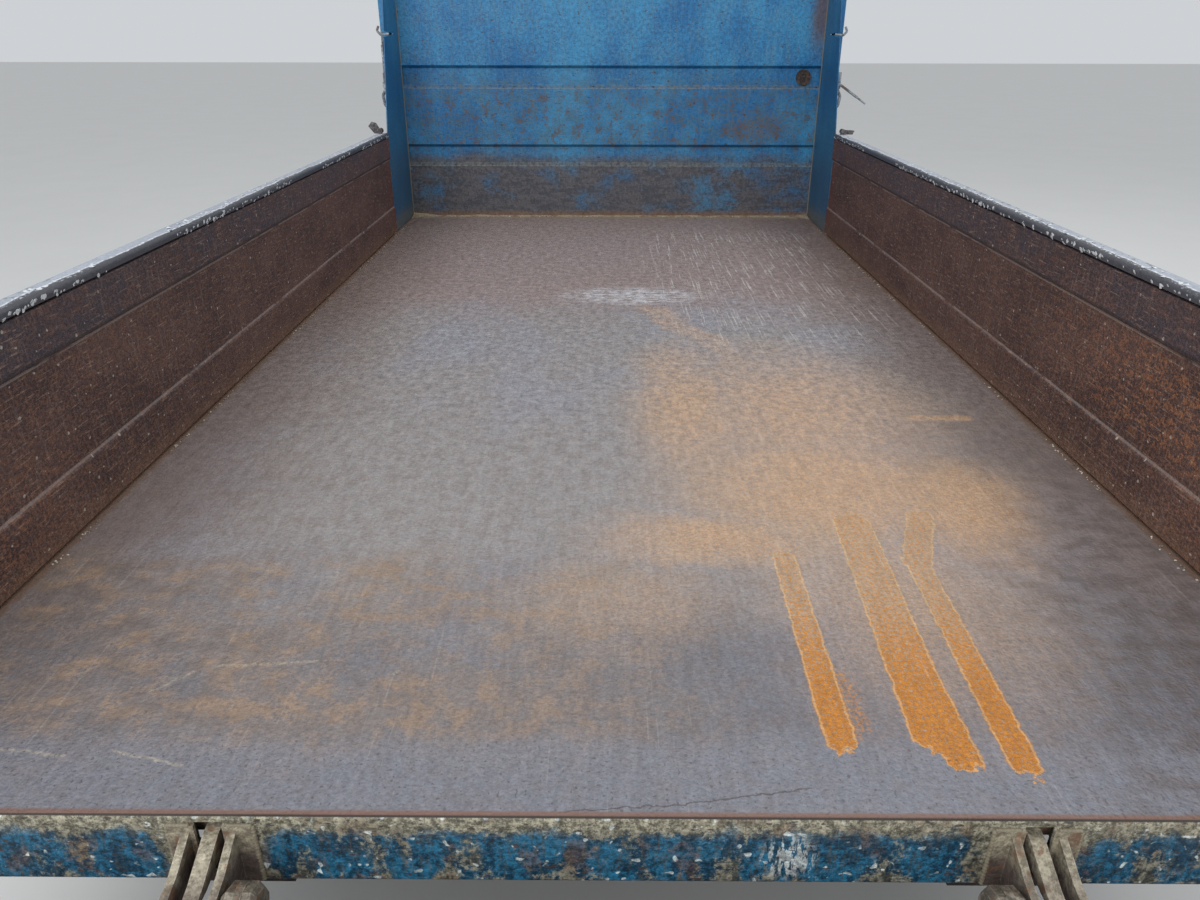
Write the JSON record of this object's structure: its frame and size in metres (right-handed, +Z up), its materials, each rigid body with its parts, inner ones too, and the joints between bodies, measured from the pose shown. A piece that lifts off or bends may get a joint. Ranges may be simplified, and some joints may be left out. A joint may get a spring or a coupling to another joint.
{
  "type": "dump truck tipping bed",
  "caption": "Low drop-side tipping bed with a tall winged front wall, folding side gates and tailgate, on a subframe with a telescopic ram.",
  "frame": {"origin": "centre of the four chassis bolt holes, in the plane of the chassis rails' top faces", "axes": "+X to the bed's right as seen from behind, +Y towards the cab, +Z up"},
  "size_m": [1.7939, 3.21, 1.392],
  "materials": {
    "blue_paint": "worn, chipped gloss",
    "floor_steel": "scuffed bare plate with orange rust",
    "gate_skin": "dark rust over old paint",
    "gate_rail": "worn, flaking",
    "underframe": "dull chassis black",
    "hinge_steel": "weathered, greasy at the pins",
    "ram_steel": "ground and plated",
    "pad_rubber": "matt"
  },
  "bodies": {
    "subframe": {"subframe_rails": "underframe", "subframe_crossmembers": "underframe", "chassis_brackets": "underframe", "rest_pads": "pad_rubber", "tip_hinge_cheeks": "hinge_steel", "tip_hinge_pins": "hinge_steel", "ram_cradle": "underframe"},
    "bed": {"floor_plate": "floor_steel", "floor_crossmembers": "underframe", "bed_long_sills": "underframe", "side_sills": "blue_paint", "rear_sill": "blue_paint", "rear_posts": "blue_paint", "front_wall": "blue_paint", "wall_stiffeners": "blue_paint", "wall_plug": "hinge_steel", "wing_panels": "blue_paint", "wing_latches": "hinge_steel", "gate_hinge_lugs": "hinge_steel", "lock_brackets": "hinge_steel", "tip_ears": "hinge_steel", "lift_beam": "underframe"},
    "left_gate": {"left_gate_skin": "gate_skin", "left_gate_rail": "gate_rail", "left_gate_ribs": "blue_paint", "left_gate_hinges": "hinge_steel", "left_gate_latch": "hinge_steel"},
    "right_gate": {"right_gate_skin": "gate_skin", "right_gate_rail": "gate_rail", "right_gate_ribs": "blue_paint", "right_gate_hinges": "hinge_steel", "right_gate_latch": "hinge_steel"},
    "tailgate": {"tailgate_skin": "gate_skin", "tailgate_rail": "gate_rail", "tailgate_ribs": "blue_paint", "tailgate_lugs": "hinge_steel", "tailgate_pins": "hinge_steel", "tailgate_top_pins": "hinge_steel"},
    "lock": {"lock_shaft": "hinge_steel", "lock_claws": "hinge_steel"},
    "ram_barrel": {"ram_barrel": "underframe"},
    "ram_stage_1": {"ram_stage_1": "ram_steel"},
    "ram_stage_2": {"ram_stage_2": "ram_steel"},
    "ram_stage_3": {"ram_stage_3": "ram_steel"},
    "ram_rod": {"ram_rod": "ram_steel"}
  },
  "joints": [
    {"name": "bed_tip", "type": "hinge", "parent": "subframe", "child": "bed", "pos_m": [0, -1.32, 0.0665], "axis": [1, 0, 0], "range_deg": [0, 50]},
    {"name": "left_gate_drop", "type": "hinge", "parent": "bed", "child": "left_gate", "pos_m": [-0.843, -0.1, 0.2415], "axis": [0, -1, 0], "range_deg": [0, 180]},
    {"name": "right_gate_drop", "type": "hinge", "parent": "bed", "child": "right_gate", "pos_m": [0.843, -0.1, 0.2415], "axis": [0, 1, 0], "range_deg": [0, 180]},
    {"name": "tailgate_close", "type": "hinge", "parent": "bed", "child": "tailgate", "pos_m": [0, -1.557, 0.2005], "axis": [-1, 0, 0], "range_deg": [0, 180]},
    {"name": "lock_open", "type": "hinge", "parent": "bed", "child": "lock", "pos_m": [0, -1.472, 0.2285], "axis": [-1, 0, 0], "range_deg": [0, 16]},
    {"name": "ram_swing", "type": "hinge", "parent": "subframe", "child": "ram_barrel", "pos_m": [0, -0.3218, 0.0065], "axis": [1, 0, 0], "range_deg": [0, 25]},
    {"name": "ram_slide_1", "type": "slide", "parent": "ram_barrel", "child": "ram_stage_1", "axis": [0, 0, 1], "range_m": [0, 0.2083]},
    {"name": "ram_slide_2", "type": "slide", "parent": "ram_stage_1", "child": "ram_stage_2", "axis": [0, 0, 1], "range_m": [0, 0.2083]},
    {"name": "ram_slide_3", "type": "slide", "parent": "ram_stage_2", "child": "ram_stage_3", "axis": [0, 0, 1], "range_m": [0, 0.2083]},
    {"name": "ram_slide_4", "type": "slide", "parent": "ram_stage_3", "child": "ram_rod", "axis": [0, 0, 1], "range_m": [0, 0.2083]}
  ],
  "couplings": [
    {"joint": "ram_swing", "follows": "bed_tip", "ratio": 0.5},
    {"joint": "ram_slide_1", "follows": "bed_tip", "m_per_rad": 0.23849},
    {"joint": "ram_slide_2", "follows": "bed_tip", "m_per_rad": 0.23849},
    {"joint": "ram_slide_3", "follows": "bed_tip", "m_per_rad": 0.23849},
    {"joint": "ram_slide_4", "follows": "bed_tip", "m_per_rad": 0.23849}
  ]
}
